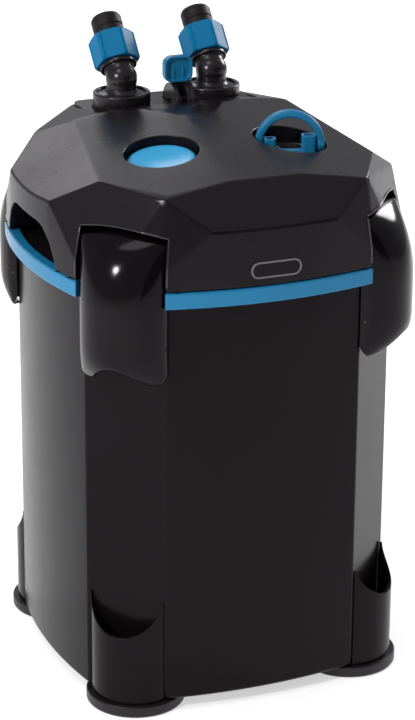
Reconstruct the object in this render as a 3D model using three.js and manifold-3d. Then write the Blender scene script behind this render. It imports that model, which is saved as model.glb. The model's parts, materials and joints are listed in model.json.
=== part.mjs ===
// Canister filter for an aquarium or a small pond.
// Millimetres, +Z up. The front faces -Y. The origin is on the floor, at the middle of the footprint.

import * as THREE from 'three';
import { ConvexGeometry } from 'three/addons/geometries/ConvexGeometry.js';
import { mergeVertices } from 'three/addons/utils/BufferGeometryUtils.js';
import Module from 'manifold-3d';

const wasm = await Module();
wasm.setup();

// ---------------------------------------------------------------- driving dimensions

const TOUCH = 0.3;              // gap between pieces that touch
const RUNNING = 0.06;           // radial clearance of a running fit
const WALL = 3;                 // moulded wall

// Facets round a turned shape: large visible rounds, other rounds, and pins.
const WIDE = 24;
const ROUND = 16;
const FINE = 10;

// Canister: four bowed walls joined by flat 45 degree corner strips.
const CANISTER = { halfWidth: 104, edge: 64.5, bow: 6, bottom: 8, floor: 12, top: 274.6 };
const STRIP = (CANISTER.halfWidth + CANISTER.edge) / Math.SQRT2;   // axis to the face of a corner strip

// Seam band and head outline. Both bow further out than the canister.
const HEAD = { halfWidth: 109.5, edge: 73.3, bow: 10, bottom: 285.8, gripTop: 311 };
const BAND = { halfWidth: 110, bottom: 275, top: 285.5 };
const BASE = { halfWidth: 105.1, edge: 57.4, bow: 8, bottom: 274.9, top: 283 };

// Corner legs and feet stand on one centre, out on the diagonal.
const FOOT = { centre: 106.6, radius: 32, height: 7.7 };
const LEG = { radius: 28.5, wall: 2.6, pocketFloor: 22, scoopBottom: 54, top: 76, scoopHalfWidth: 24.4 };

// Corner latches, in a corner's own frame: u runs outward along the diagonal, v across it.
const LATCH = {
  arcCentre: 110.6, arcRadius: 32, halfWidth: 29, back: 119.6, wall: 2.6,
  bottom: 225, top: 318, topDrop: 4, notchTop: 236.5, notchHalfWidth: 15,
  pivotU: 117, pivotZ: 302, pinRadius: 1.6, hookPinU: 122.8, hookPinZ: 249, hookPinRadius: 1.2,
};
const RECESS = { halfWidth: 29.7, floorU: 107.8, sideTop: 318.5, rise: 3 };

// Wells in the head: priming button on the left, pre-filter on the right.
const WELL_RADIUS = 23.6;
const BUTTON = { x: -43, y: -38.5, radius: 23.2, depth: 7.2, skirt: 318, plunger: 4.5 };
const PREFILTER = { x: 43, y: -40, capRadius: 23.3, capBottom: 337, capTop: 342 };
const BAIL = { axisZ: 349, radius: 19.6, turn: -19, postReach: 12, postTop: 353.5, peg: 1.6 };

// Nozzles at the back of the head.
const NOZZLE = { x: 31.6, y: 62, rim: 366, recess: 362, outer: 18.8, flange: 16, lean: 42, bendZ: 374.5 };
// Distances along the leaning hose tail, from the middle of the bend.
const TAIL = { collar: 7.4, nutFrom: 10.3, joint: 21.2, lip: 27, nutTo: 30.2, end: 45 };
const PLATE = { halfLength: 57, front: 41.5, back: 87.5, top: 355.5, bottom: 351.5 };
const VALVE = { axisZ: 354.5, bossRadius: 13.5, bossEnd: 2.2, slotFrom: 4.8, slotTo: 10.4, spindle: 3 };

// Cable gland, in the back wall.
const GLAND = { x: 50, y: 111, z: 300 };

// Pump, in the middle of the head.
const PUMP = { x: 0, y: 10, wellRadius: 11, statorRadius: 27, shaft: 1.5 };

// Media baskets. They leave a channel along the right wall for the riser pipe.
const BASKET = { height: 70, gap: 0.5, firstZ: 16, wall: 2, left: -97, right: 71, half: 97, count: 3 };
const RISER = { x: 82, radius: 8.5 };

// ---------------------------------------------------------------- materials

function finish(color, roughness, metalness = 0) {
  return new THREE.MeshStandardMaterial({ color, roughness, metalness });
}

const casing = () => finish('#1c181b', 0.22);
const headSkin = () => finish('#3a363a', 0.34);
const latchSkin = () => finish('#171417', 0.16);
const accentBlue = () => finish('#1f8fc9', 0.3);
const darkPart = () => finish('#141214', 0.35);
const rubber = () => finish('#0f0f10', 0.8);
const steel = () => finish('#9da0a3', 0.25, 0.9);

// ---------------------------------------------------------------- geometry helpers

const ORIGIN = new THREE.Vector2(0, 0);
const points2 = (pairs) => pairs.map(([a, b]) => new THREE.Vector2(a, b));

function signedVolume(positions, index) {
  const a = new THREE.Vector3();
  const b = new THREE.Vector3();
  const c = new THREE.Vector3();
  let total = 0;
  for (let i = 0; i < index.length; i += 3) {
    a.fromArray(positions, index[i] * 3);
    b.fromArray(positions, index[i + 1] * 3);
    c.fromArray(positions, index[i + 2] * 3);
    total += a.dot(b.cross(c));
  }
  return total;
}

// Welds a three.js geometry into one closed solid that faces out.
function solid(geometry) {
  const bare = geometry.clone();
  bare.deleteAttribute('normal');
  bare.deleteAttribute('uv');
  const welded = mergeVertices(bare, 1e-4);
  const positions = Float32Array.from(welded.attributes.position.array);
  const index = [];
  const all = welded.index.array;
  for (let i = 0; i < all.length; i += 3) {
    const [a, b, c] = [all[i], all[i + 1], all[i + 2]];
    if (a !== b && b !== c && c !== a) index.push(a, b, c);
  }
  if (signedVolume(positions, index) < 0) index.reverse();
  const mesh = new wasm.Mesh({ numProp: 3, vertProperties: positions, triVerts: Uint32Array.from(index) });
  return new wasm.Manifold(mesh);
}

function geometryOf(manifold) {
  const mesh = manifold.getMesh();
  const geometry = new THREE.BufferGeometry();
  geometry.setAttribute('position', new THREE.BufferAttribute(Float32Array.from(mesh.vertProperties), 3));
  geometry.setIndex(Array.from(mesh.triVerts));
  geometry.computeVertexNormals();
  return geometry;
}

// Radius of a faceted bore whose flats clear a shaft by the running fit.
const boreFor = (shaftRadius, facets) => (shaftRadius + RUNNING) / Math.cos(Math.PI / facets);

const join = (first, ...others) => others.reduce((whole, next) => whole.add(next), first);
const cut = (first, ...others) => others.reduce((rest, next) => rest.subtract(next), first);

// An upright prism of a plan outline, with optional holes through it.
function prism(outline, bottom, top, holes = []) {
  const shape = new THREE.Shape(outline);
  shape.holes = holes.map((hole) => new THREE.Path(hole));
  const geometry = new THREE.ExtrudeGeometry(shape, { depth: top - bottom, bevelEnabled: false });
  return geometry.translate(0, 0, bottom);
}

// A profile of (x, z) points, extruded along Y to +-halfWidth.
function sideways(profile, halfWidth) {
  const settings = { depth: 2 * halfWidth, bevelEnabled: false };
  const geometry = new THREE.ExtrudeGeometry(new THREE.Shape(profile), settings);
  return geometry.rotateX(Math.PI / 2).translate(0, halfWidth, 0);
}

// A profile of (y, z) points, extruded along X.
function lengthways(profile, from, to) {
  const settings = { depth: to - from, bevelEnabled: false };
  const geometry = new THREE.ExtrudeGeometry(new THREE.Shape(profile), settings);
  return geometry.rotateX(Math.PI / 2).rotateZ(Math.PI / 2).translate(from, 0, 0);
}

// A profile of (radius, z) points spun about the Z axis. It starts and ends on the axis, or closes.
function spun(pairs, segments = ROUND) {
  return new THREE.LatheGeometry(points2(pairs), segments).rotateX(Math.PI / 2);
}

function rod(radius, bottom, top, segments = ROUND) {
  const geometry = new THREE.CylinderGeometry(radius, radius, top - bottom, segments);
  return geometry.rotateX(Math.PI / 2).translate(0, 0, (bottom + top) / 2);
}

function box(x0, x1, y0, y1, z0, z1) {
  const geometry = new THREE.BoxGeometry(x1 - x0, y1 - y0, z1 - z0);
  return geometry.translate((x0 + x1) / 2, (y0 + y1) / 2, (z0 + z1) / 2);
}

// Turns a piece that was made along Z so that it runs along a direction from a point.
function aim(geometry, direction, from) {
  const turn = new THREE.Quaternion().setFromUnitVectors(new THREE.Vector3(0, 0, 1), direction);
  return geometry.applyQuaternion(turn).translate(from.x, from.y, from.z);
}

const alongY = (geometry, x, y, z) => geometry.rotateX(-Math.PI / 2).translate(x, y, z);
const alongX = (geometry, x, y, z) => geometry.rotateY(Math.PI / 2).translate(x, y, z);

// Plan outline of four bowed walls with straight corner strips between them.
function bowedSquare(halfWidth, edge, bow, steps = 6) {
  const outline = [];
  for (let side = 0; side < 4; side += 1) {
    for (let step = 0; step <= steps; step += 1) {
      const across = edge * (2 * step / steps - 1);
      const out = halfWidth + bow * (1 - (across / edge) ** 2);
      outline.push(new THREE.Vector2(across, -out).rotateAround(ORIGIN, side * Math.PI / 2));
    }
  }
  return outline;
}

function arc(centre, radius, fromDegrees, toDegrees, steps) {
  const list = [];
  for (let step = 0; step <= steps; step += 1) {
    const angle = THREE.MathUtils.degToRad(fromDegrees + (toDegrees - fromDegrees) * step / steps);
    list.push([centre[0] + radius * Math.cos(angle), centre[1] + radius * Math.sin(angle)]);
  }
  return list;
}

function roundedRectangle(x0, x1, y0, y1, radius, steps = 4) {
  return points2([
    ...arc([x1 - radius, y0 + radius], radius, -90, 0, steps),
    ...arc([x1 - radius, y1 - radius], radius, 0, 90, steps),
    ...arc([x0 + radius, y1 - radius], radius, 90, 180, steps),
    ...arc([x0 + radius, y0 + radius], radius, 180, 270, steps),
  ]);
}

// ---------------------------------------------------------------- the scene graph

const filter = new THREE.Group();

const CORNERS = [
  { name: 'front_right', angle: -Math.PI / 4 },
  { name: 'back_right', angle: Math.PI / 4 },
  { name: 'back_left', angle: 3 * Math.PI / 4 },
  { name: 'front_left', angle: -3 * Math.PI / 4 },
];

function place(name, manifold, material, parent = filter) {
  const mesh = new THREE.Mesh(geometryOf(manifold), material);
  mesh.name = name;
  parent.add(mesh);
  return mesh;
}

// A piece made in the corner frame is repeated at the four corners.
function placeAtCorners(stem, manifold, material) {
  for (const corner of CORNERS) {
    const mesh = place(`${stem}_${corner.name}`, manifold, material());
    mesh.rotation.z = corner.angle;
  }
}

function atEveryCorner(makeGeometry) {
  return CORNERS.map((corner) => solid(makeGeometry().rotateZ(corner.angle)));
}

// ---------------------------------------------------------------- canister, legs and feet

function makeCanister() {
  const { halfWidth, edge, bow, bottom, floor, top } = CANISTER;
  const outer = prism(bowedSquare(halfWidth, edge, bow), bottom, top);
  const inner = prism(bowedSquare(halfWidth - WALL, edge - 1.2, bow), floor, top + 1);
  const catchLug = () => box(STRIP - 1, STRIP + 1.2, -12, 12, 262.3, 268);
  return join(cut(solid(outer), solid(inner)), ...atEveryCorner(catchLug));
}

function makeLeg() {
  const front = STRIP + TOUCH;
  const column = solid(rod(LEG.radius, CANISTER.bottom, LEG.top, WIDE).translate(FOOT.centre, 0, 0));
  const pocketTop = LEG.top + 1;
  const pocket = rod(LEG.radius - LEG.wall, LEG.pocketFloor, pocketTop, WIDE).translate(FOOT.centre, 0, 0);
  const behind = box(0, front, -40, 40, 0, pocketTop);
  const depth = LEG.top - LEG.scoopBottom;
  const scoop = [[-40, LEG.top + 2], [-LEG.scoopHalfWidth, LEG.top + 2]];
  for (const [v, z] of arc([0, 0], 1, 180, 360, 10)) {
    scoop.push([LEG.scoopHalfWidth * v, LEG.top + depth * z]);
  }
  scoop.push([LEG.scoopHalfWidth, LEG.top + 2]);
  scoop.shift();
  return cut(column, solid(pocket), solid(behind), solid(lengthways(points2(scoop), 100, 145)));
}

function makeFoot() {
  const { radius, height } = FOOT;
  const profile = [[0, 0], [radius - 1.2, 0], [radius, 1.2], [radius, height], [0, height]];
  return solid(spun(profile, WIDE).translate(FOOT.centre, 0, 0));
}

place('canister', makeCanister(), casing());
placeAtCorners('corner_leg', makeLeg(), casing);
placeAtCorners('foot', makeFoot(), rubber);

// ---------------------------------------------------------------- media baskets and riser pipe

function basketOutline(inset) {
  const left = BASKET.left + inset;
  const right = BASKET.right - inset;
  const half = BASKET.half - inset;
  const reach = 162 - 1.4 * inset;            // |x| + |y| along the cut corners
  return points2([
    [left, -(reach + left)], [-(reach - half), -half], [reach - half, -half], [right, -(reach - right)],
    [right, reach - right], [reach - half, half], [-(reach - half), half], [left, reach + left],
  ]);
}

function makeBasket(bottom) {
  const { wall, height } = BASKET;
  const outer = solid(prism(basketOutline(0), bottom, bottom + height));
  const inner = solid(prism(basketOutline(wall), bottom + wall, bottom + height + 1));
  const slots = [-66, -33, 0, 33].map((x) => solid(box(x - 6, x + 6, -58, 58, bottom - 1, bottom + wall + 1)));
  return cut(outer, inner, ...slots);
}

for (let level = 0; level < BASKET.count; level += 1) {
  const bottom = BASKET.firstZ + level * (BASKET.height + BASKET.gap);
  const mediaTop = bottom + BASKET.height - 8;
  const media = prism(basketOutline(BASKET.wall + TOUCH), bottom + BASKET.wall + TOUCH, mediaTop);
  place(`media_basket_${level + 1}`, makeBasket(bottom), finish('#2a2d30', 0.5));
  place(`media_block_${level + 1}`, solid(media), finish(['#c9c2b2', '#d8d5cb', '#4d6f8f'][level], 0.95));
}

const riser = spun([[6.5, 14], [RISER.radius, 14], [RISER.radius, 262], [6.5, 262], [6.5, 14]]);
place('riser_pipe', solid(riser.translate(RISER.x, 0, 0)), finish('#202326', 0.4));

// ---------------------------------------------------------------- seam band, head base and gasket

function makeBand() {
  const outer = bowedSquare(BAND.halfWidth, HEAD.edge, HEAD.bow);
  const inner = bowedSquare(BASE.halfWidth + TOUCH, BASE.edge + TOUCH, BASE.bow);
  const ring = solid(prism(outer, BAND.bottom, BAND.top, [inner]));
  const latchGap = () => box(STRIP - 0.85, 160, -29.6, 29.6, 270, 290);
  return cut(ring, ...atEveryCorner(latchGap));
}

function holeAt(x, y, radius) {
  return solid(rod(radius, BASE.bottom - 1, BASE.top + 1).translate(x, y, 0));
}

function makeHeadBase() {
  const plate = solid(prism(bowedSquare(BASE.halfWidth, BASE.edge, BASE.bow), BASE.bottom, BASE.top));
  const plugInner = bowedSquare(92.5, 57, 5.5);
  const plug = prism(bowedSquare(96.5, 59, 5.5), 259, BASE.bottom + 1, [plugInner]);
  const lip = prism(bowedSquare(99.5, 60.5, 5.5), 259, 262, [plugInner]);
  const outlets = [-1, 1].map((side) => holeAt(side * NOZZLE.x, NOZZLE.y, 8));
  return cut(
    join(plate, solid(plug), solid(lip)),
    ...outlets,
    holeAt(PUMP.x, PUMP.y, PUMP.wellRadius),
    holeAt(PREFILTER.x, PREFILTER.y, 14),
    holeAt(BUTTON.x, BUTTON.y, boreFor(BUTTON.plunger, ROUND)),
  );
}

const gasketOuter = bowedSquare(CANISTER.halfWidth - WALL - TOUCH, CANISTER.edge - 1.6, CANISTER.bow);
const gasketInner = bowedSquare(96.5 + TOUCH, 59 + TOUCH, 5.5);
place('seam_band', makeBand(), accentBlue());
place('head_base', makeHeadBase(), darkPart());
place('head_gasket', solid(prism(gasketOuter, 262.3, 268.5, [gasketInner])), rubber());

// ---------------------------------------------------------------- head cover

// Corners of the head's facets on its right half. The left half mirrors them.
const FACETS = [
  // upper edge of the upright front wall
  [21, -118.7, 322], [41, -117, 322],
  // front edge and front corner of the sloping pad around the well
  [24, -100.5, 348], [62, -101, 343.2], [67, -104, 341.8],
  // curved inner crease of the pad, from the front to its rear crest
  [17, -76, 351.4], [13.5, -60, 353.6], [10, -40, 355.9], [8.5, -18, 358.3], [10, 3, 360.5],
  [17, 17, 361.3], [33, 30, 361.3], [54, 36, 359.5], [73.8, 36, 357],
  // corners of the big side facet
  [91.6, -60.6, 344.3], [91.6, 62, 344.5],
  // lower corners of the small facets beside the front and back latches
  [70.5, -110, 296], [110, -71, 296], [88, -95, 305],
  [70.5, 110, 296], [110, 71, 296], [88, 95, 305],
  // rear edge of the top, rear corners and the upper edge of the back wall
  [28, 93, 355], [56, 89.5, 352.6], [66, 104, 339.5], [41, 117, 322], [21, 118.7, 322],
];

function sideWallPoints() {
  const list = [];
  for (const y of [-37.6, -19, 0, 19, 37.6]) {
    const x = HEAD.halfWidth + HEAD.bow * (1 - (y / HEAD.edge) ** 2);
    list.push([x, y, (336.9 - 0.56 * x) / 0.828]);      // on the plane of the side facet
  }
  return list;
}

// The faceted outer form of the head, shrunk by an inset for its inside.
function headForm(inset) {
  const scale = 1 - inset / 114;
  const corners = [];
  const add = (x, y, z) => corners.push(new THREE.Vector3(x * scale, y * scale, z - inset));
  for (const [x, y, z] of [...FACETS, ...sideWallPoints()]) {
    add(x, y, z);
    add(-x, y, z);
  }
  add(0, -119.5, 322);
  add(0, 119.5, 322);
  for (const { x, y } of bowedSquare(HEAD.halfWidth, HEAD.edge, HEAD.bow, 8)) {
    corners.push(new THREE.Vector3(x * scale, y * scale, HEAD.bottom - (inset ? 1 : 0)));
  }
  return solid(new ConvexGeometry(corners));
}

// Side view of a hand grip: flat top, round shoulders, open at the bottom.
function gripOutline(grow) {
  const top = HEAD.gripTop + grow;
  const half = 46 + grow;
  return points2([
    [-half, HEAD.bottom - 2], [half, HEAD.bottom - 2], [half - 3, 292], [half - 9, 302], [half - 18, top - 2],
    [half - 26, top], [-(half - 26), top], [-(half - 18), top - 2], [-(half - 9), 302], [-(half - 3), 292],
  ]);
}

function latchBore(radius, u, z, halfLength) {
  return alongY(rod(boreFor(radius, FINE), -halfLength, halfLength, FINE), u, 0, z);
}

// Space for a latch: straight sides, an arched top and a flat floor.
function recessForm(grow) {
  const half = RECESS.halfWidth + grow;
  const outline = [[-half, 280], [half, 280]];
  for (let step = 0; step <= 6; step += 1) {
    const v = half * (1 - step / 3);
    outline.push([v, RECESS.sideTop + grow + RECESS.rise * (1 - (v / half) ** 2)]);
  }
  return lengthways(points2(outline), RECESS.floorU - grow, 150);
}

function makeHeadCover() {
  const form = headForm(0);
  const shell = cut(form, headForm(WALL));
  const wellTube = (x, y, bottom) => solid(rod(WELL_RADIUS + 2.6, bottom, 370, WIDE).translate(x, y, 0));
  const wellBore = (x, y) => solid(rod(WELL_RADIUS, 280, 380, 2 * ROUND).translate(x, y, 0));
  const { halfLength, front, back } = PLATE;
  const frame = box(-halfLength - 3.4, halfLength + 3.4, front - 3.4, back + 3.4, PLATE.bottom, 370);
  const slack = 0.4;
  const opening = prism(roundedRectangle(
    -halfLength - slack, halfLength + slack, front - slack, back + slack, 6,
  ), 300, 380);
  const gripWalls = [[88, 130], [-130, -88]].map(([a, b]) => solid(lengthways(gripOutline(3), a, b)));
  const gripSpaces = [[91, 130], [-130, -91]].map(([a, b]) => solid(lengthways(gripOutline(0), a, b)));
  const cheeks = () => box(RECESS.floorU - 3, 124, -36, 36, HEAD.bottom, 324.5);
  const pinHole = () => latchBore(LATCH.pinRadius, LATCH.pivotU, LATCH.pivotZ, 35);
  const glandHole = alongY(rod(5, -6, 6), GLAND.x, GLAND.y, GLAND.z);
  const inside = box(-130, 130, -130, 130, HEAD.bottom, 400);
  const added = join(
    wellTube(BUTTON.x, BUTTON.y, 300), wellTube(PREFILTER.x, PREFILTER.y, 292),
    solid(frame), ...gripWalls, ...atEveryCorner(cheeks),
  ).intersect(form).intersect(solid(inside));
  return cut(
    join(shell, added),
    wellBore(BUTTON.x, BUTTON.y), wellBore(PREFILTER.x, PREFILTER.y), solid(opening),
    ...gripSpaces, ...atEveryCorner(() => recessForm(0)), ...atEveryCorner(pinHole), solid(glandHole),
  );
}

place('head_cover', makeHeadCover(), headSkin());

const gland = spun([[0, -6], [4.7, -6], [4.7, 6.4], [4, 8.2], [3.2, 8.2], [3.2, 2], [0, 2]]);
place('cable_gland', solid(alongY(gland, GLAND.x, GLAND.y, GLAND.z)), rubber());

// ---------------------------------------------------------------- corner latches

// The space inside a latch, or its outside, as three crossed outlines.
function latchForm(inset) {
  const L = LATCH;
  const half = L.halfWidth - inset;
  const radius = L.arcRadius - inset;
  const spread = THREE.MathUtils.radToDeg(Math.asin(half / radius));
  const back = inset ? L.back - 4 : L.back;
  const plan = points2([
    [back, half], [back, -half], ...arc([L.arcCentre, 0], radius, -spread, spread, 10),
  ]);
  const dome = arc([0, 0], 1, 0, 90, 5).map(([c, s]) => [L.back + (23.4 - inset) * c, 294 + (24.5 - inset) * s]);
  const profile = points2([
    [back, L.bottom + inset], [130, L.bottom + inset], [137.5 - inset / 2, L.bottom + 4 + inset],
    [141.5 - inset, L.bottom + 13 + inset], [142.8 - inset, L.bottom + 26], ...dome,
    ...(inset ? [[back, dome.at(-1)[1]]] : []),
  ]);
  const sweep = [];
  for (let step = 0; step <= 6; step += 1) {
    const v = half * (1 - step / 3);
    sweep.push([v, L.top - inset - L.topDrop * (v / half) ** 2]);
  }
  const front = points2([
    [-half, L.bottom + 12], [-half + 3, L.bottom + 4], [-half + 9, L.bottom], [half - 9, L.bottom],
    [half - 3, L.bottom + 4], [half, L.bottom + 12], ...sweep,
  ]);
  return solid(prism(plan, 200, 340)).intersect(solid(sideways(profile, 40)))
    .intersect(solid(lengthways(front, 100, 150)));
}

function makeLatchLever() {
  const L = LATCH;
  const notch = [[-L.notchHalfWidth - 6, L.bottom - 5], [L.notchHalfWidth + 6, L.bottom - 5]];
  for (let step = 0; step <= 6; step += 1) {
    const t = 1 - step / 3;
    notch.push([(L.notchHalfWidth + 3) * t, L.bottom + (L.notchTop - L.bottom) * (1 - t ** 2)]);
  }
  const ears = [-1, 1].map((side) => {
    const ear = alongY(rod(5, -1.2, 1.2, FINE), L.pivotU, side * (L.halfWidth - 1.3), L.pivotZ);
    const bridge = box(L.pivotU, L.back + 1.5, side * 27.7 - 1.2, side * 27.7 + 1.2, L.pivotZ - 5, L.pivotZ + 5);
    return join(solid(ear), solid(bridge));
  });
  // The catch lug passes through the lever's floor here when the head is lifted off.
  const lugSlot = box(L.back - 1, L.back + 1.3, -12.6, 12.6, L.bottom - 1, L.bottom + 4);
  return cut(
    join(cut(latchForm(0), latchForm(L.wall)), ...ears),
    solid(lengthways(points2(notch), 130, 150)),
    solid(lugSlot),
    solid(latchBore(L.pinRadius, L.pivotU, L.pivotZ, 40)),
    solid(latchBore(L.hookPinRadius, L.hookPinU, L.hookPinZ, 40)),
  );
}

function makeLatchHook() {
  const u = LATCH.hookPinU;
  const z = LATCH.hookPinZ;
  const profile = points2([
    [u - 2, z - 3.5], [u + 1, z - 5], [u + 4.2, z - 3], [u + 4.2, z + 12], [u + 1.5, z + 14.5],
    [u - 2, z + 12.8],
  ]);
  return cut(solid(sideways(profile, 11)), solid(latchBore(LATCH.hookPinRadius, u, z, 40)));
}

function pin(radius, halfLength, u, z) {
  return solid(alongY(rod(radius, -halfLength, halfLength, FINE), u, 0, z));
}

placeAtCorners('latch_lever', makeLatchLever(), latchSkin);
placeAtCorners('latch_hook', makeLatchHook(), darkPart);
placeAtCorners('latch_pivot_pin', pin(LATCH.pinRadius, 33.5, LATCH.pivotU, LATCH.pivotZ), steel);
const hookPin = pin(LATCH.hookPinRadius, 28.8, LATCH.hookPinU, LATCH.hookPinZ);
placeAtCorners('latch_hook_pin', hookPin, darkPart);

// ---------------------------------------------------------------- priming button

const PAD_NORMAL = new THREE.Vector3(-0.117, -0.11, 0.987).normalize();      // of the left pad

function makeButton() {
  const crown = (drop) => {
    const dome = [[0, -60], [36, -60], [36, -3.4], [24, -1.5], [14, -0.5], [0, 0]];
    const from = new THREE.Vector3(BUTTON.x, BUTTON.y, 352.4 - drop);
    return solid(aim(spun(dome), PAD_NORMAL, from));
  };
  const body = (radius, bottom) => solid(rod(radius, bottom, 370, WIDE).translate(BUTTON.x, BUTTON.y, 0));
  const outer = body(BUTTON.radius, BUTTON.skirt).intersect(crown(BUTTON.depth));
  const inner = body(BUTTON.radius - 2.4, BUTTON.skirt - 5).intersect(crown(BUTTON.depth + 2.6));
  return cut(outer, inner);
}

class Coil extends THREE.Curve {
  constructor(radius, bottom, top, turns) {
    super();
    Object.assign(this, { radius, bottom, top, turns });
  }

  getPoint(t, target = new THREE.Vector3()) {
    const angle = 2 * Math.PI * this.turns * t;
    const z = this.bottom + (this.top - this.bottom) * t;
    return target.set(this.radius * Math.cos(angle), this.radius * Math.sin(angle), z);
  }
}

function makeSpring() {
  const section = new THREE.Shape(points2(arc([0, 0], 0.9, 0, 288, 4)));
  const path = new Coil(8.4, 284.6, 339, 6);
  const coil = new THREE.ExtrudeGeometry(section, { steps: 54, bevelEnabled: false, extrudePath: path });
  return solid(coil.translate(BUTTON.x, BUTTON.y, 0));
}

place('priming_button', makeButton(), accentBlue());
const plungerProfile = [[0, 262], [BUTTON.plunger, 262], [BUTTON.plunger, 336], [6.4, 336], [6.4, 339.8], [0, 339.8]];
place('priming_plunger', solid(spun(plungerProfile).translate(BUTTON.x, BUTTON.y, 0)), darkPart());
place('priming_spring', makeSpring(), steel());

// ---------------------------------------------------------------- pre-filter

function atPrefilter(geometry) {
  return geometry.rotateZ(THREE.MathUtils.degToRad(BAIL.turn)).translate(PREFILTER.x, PREFILTER.y, 0);
}

function makePrefilterCap() {
  const { capRadius, capBottom, capTop } = PREFILTER;
  return solid(atPrefilter(spun([
    [0, capBottom], [capRadius, capBottom], [capRadius, capTop + 2], [capRadius - 2, capTop + 2],
    [capRadius - 2.6, capTop], [0, capTop],
  ], WIDE)));
}

function makeStrainer() {
  const top = PREFILTER.capBottom - TOUCH;
  const cup = solid(spun([
    [0, 288], [20.5, 288], [20.5, top], [18.3, top], [18.3, 290.2], [0, 290.2],
  ], WIDE));
  const windows = [];
  for (let turn = 0; turn < 4; turn += 1) {
    windows.push(solid(box(-3.5, 3.5, -30, 30, 294, 330).rotateZ(turn * Math.PI / 4)));
  }
  const cutCup = geometryOf(cut(cup, ...windows));
  return solid(atPrefilter(cutCup));
}

// The blue bracket on the cap: a bar with two posts, which the bail hangs on.
function makeBailBracket() {
  const bottom = PREFILTER.capTop + TOUCH;
  const bar = solid(atPrefilter(box(-BAIL.postReach, BAIL.postReach, -2.5, 2.5, bottom, bottom + 3)));
  const posts = [-1, 1].map((side) => {
    const post = spun([[0, bottom], [4.3, bottom], [4.3, BAIL.postTop - 1], [3.5, BAIL.postTop], [0, BAIL.postTop]]);
    return solid(atPrefilter(post.translate(side * BAIL.postReach, 0, 0)));
  });
  const bore = solid(atPrefilter(alongX(rod(boreFor(BAIL.peg, FINE), -30, 30, FINE), 0, 0, BAIL.axisZ)));
  return cut(join(bar, ...posts), bore);
}

function makeBail() {
  const strap = new THREE.Shape(points2([
    ...arc([0, BAIL.axisZ], BAIL.radius + 2.2, 0, 180, 12),
    ...arc([0, BAIL.axisZ], BAIL.radius - 2.2, 180, 0, 12),
  ]));
  const hoop = new THREE.ExtrudeGeometry(strap, { depth: 6, bevelEnabled: false });
  const hubs = [-1, 1].map((side) => {
    const hub = alongX(rod(3.4, -2.1, 2.1, FINE), side * BAIL.radius, 0, BAIL.axisZ);
    const peg = alongX(rod(BAIL.peg, -3.5, 3.5, FINE), side * (BAIL.radius - 4.6), 0, BAIL.axisZ);
    return join(solid(atPrefilter(hub)), solid(atPrefilter(peg)));
  });
  return join(solid(atPrefilter(hoop.rotateX(Math.PI / 2).translate(0, 3, 0))), ...hubs);
}

place('prefilter_cap', makePrefilterCap(), darkPart());
place('bail_bracket', makeBailBracket(), accentBlue());
place('bail_handle', makeBail(), accentBlue());
place('prefilter_strainer', makeStrainer(), finish('#1d2022', 0.4));
const foam = spun([[9, 291], [17.8, 291], [17.8, 334], [9, 334], [9, 291]]);
place('prefilter_foam', solid(atPrefilter(foam)), finish('#31506d', 0.95));

// ---------------------------------------------------------------- nozzles and shut-off valve

const LEAN = THREE.MathUtils.degToRad(NOZZLE.lean);
const TAIL_AXIS = new THREE.Vector3(0, Math.sin(LEAN), Math.cos(LEAN));

const nozzleAt = (side) => new THREE.Vector3(side * NOZZLE.x, NOZZLE.y, NOZZLE.bendZ);

function makeSocket(side) {
  const { rim, recess, outer } = NOZZLE;
  const seat = boreFor(NOZZLE.flange, WIDE);
  const ring = solid(spun([
    [8, 284.3], [10.5, 284.3], [10.5, 346], [outer, 346], [outer, rim - 0.8], [outer - 0.8, rim],
    [seat, rim], [seat, recess], [8, recess], [8, 284.3],
  ], WIDE).translate(side * NOZZLE.x, NOZZLE.y, 0));
  if (side < 0) return ring;
  const { axisZ, bossRadius, bossEnd, slotFrom, slotTo } = VALVE;
  const bossProfile = points2([
    [NOZZLE.y - bossRadius, 346], [NOZZLE.y + bossRadius, 346],
    ...arc([NOZZLE.y, axisZ], bossRadius, 0, 180, 10),
  ]);
  const keepOut = solid(rod(NOZZLE.outer - 1, 300, 380, WIDE).translate(NOZZLE.x, NOZZLE.y, 0));
  const boss = cut(solid(lengthways(bossProfile, bossEnd, NOZZLE.x - 12)), keepOut);
  const slot = box(slotFrom, slotTo, NOZZLE.y - 20, NOZZLE.y + 5.6, axisZ - 5.6, 380);
  const spindleBore = alongX(rod(boreFor(VALVE.spindle, FINE), -60, 18, FINE), 10, NOZZLE.y, axisZ);
  return cut(join(ring, boss), solid(slot), solid(spindleBore));
}

function makeElbow(side) {
  const stub = solid(spun([
    [0, 362.3], [NOZZLE.flange, 362.3], [NOZZLE.flange, 364.6], [11.2, 365.4], [9.9, 367.2],
    [9.9, NOZZLE.bendZ], [0, NOZZLE.bendZ],
  ], WIDE).translate(side * NOZZLE.x, NOZZLE.y, 0));
  const bend = nozzleAt(side);
  const ball = solid(new THREE.SphereGeometry(10.4, ROUND, 8).translate(bend.x, bend.y, bend.z));
  const branch = solid(aim(spun([
    [0, 0], [9.6, 0], [9.6, TAIL.collar], [12.2, TAIL.collar], [12.2, TAIL.nutFrom - 0.4],
    [9.6, TAIL.nutFrom - 0.4], [9.6, TAIL.joint], [0, TAIL.joint],
  ]), TAIL_AXIS, bend));
  const bore = join(
    solid(rod(6.6, 350, NOZZLE.bendZ, FINE).translate(side * NOZZLE.x, NOZZLE.y, 0)),
    solid(new THREE.SphereGeometry(6.6, FINE, 6).translate(bend.x, bend.y, bend.z)),
    solid(aim(rod(6.6, 0, 30, FINE), TAIL_AXIS, bend)),
  );
  return cut(join(stub, ball, branch), bore);
}

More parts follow.
